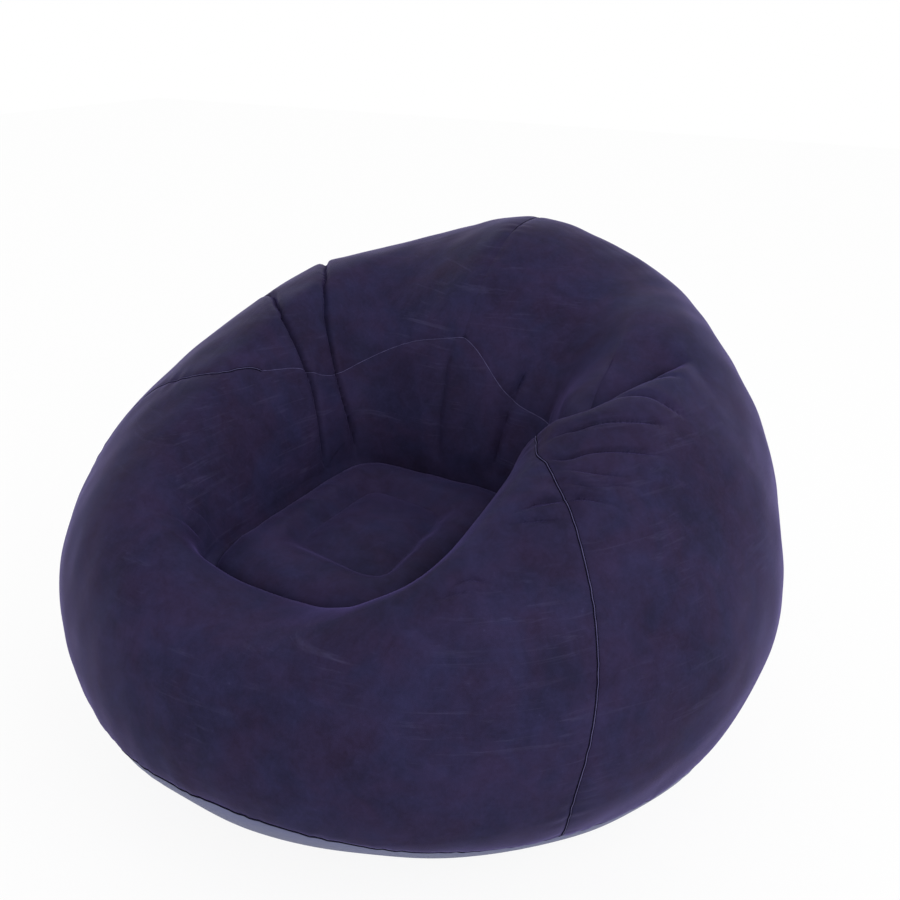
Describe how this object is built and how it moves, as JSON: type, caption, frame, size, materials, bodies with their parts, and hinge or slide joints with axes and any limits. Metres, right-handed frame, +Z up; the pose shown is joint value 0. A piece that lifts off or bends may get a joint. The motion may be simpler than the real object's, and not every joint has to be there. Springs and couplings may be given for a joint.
{
  "type": "inflatable armchair",
  "caption": "Flocked inflatable armchair: a round bag-like body with a sloping rim round a deep seat well, a quilted seat panel, gathered folds at the back and a stoppered air valve.",
  "frame": {"origin": "centre of the footprint's bounding box, on the floor", "axes": "+Z up; -Y is the way the sitter faces, so the high back is at +Y; +X is the sitter's left-hand side seen from behind the chair"},
  "size_m": [1.0664, 1.0375, 0.736],
  "materials": {
    "flock": "flocked vinyl, short dense pile",
    "vinyl": "plain vinyl sheet, satin",
    "moulding": "soft moulded vinyl"
  },
  "bodies": {
    "chair": {"front_panel": "flock", "right_rear_panel": "flock", "left_rear_panel": "flock", "seat_panel": "flock", "base_panel": "vinyl", "seat_edge_tie_front": "vinyl", "seat_edge_tie_right": "vinyl", "seat_edge_tie_back": "vinyl", "seat_edge_tie_left": "vinyl", "channel_tie_front": "vinyl", "channel_tie_right": "vinyl", "channel_tie_back": "vinyl", "channel_tie_left": "vinyl", "valve_neck": "moulding"},
    "insert": {"valve_insert": "moulding"},
    "stopper": {"valve_stopper": "moulding"},
    "flap": {"check_flap": "moulding"}
  },
  "joints": [
    {"name": "insert_strap", "type": "hinge", "parent": "chair", "child": "insert", "pos_m": [-0.24588, 0.45565, 0.24947], "axis": [-0.8895, -0.4569, 0], "range_deg": [0, 100]},
    {"name": "stopper_strap", "type": "hinge", "parent": "insert", "child": "stopper", "pos_m": [-0.24766, 0.45912, 0.25793], "axis": [-0.8895, -0.4569, 0], "range_deg": [0, 100]},
    {"name": "flap_lift", "type": "slide", "parent": "insert", "child": "flap", "axis": [0.4502, -0.8765, 0.1705], "range_m": [0, 0.002]}
  ]
}
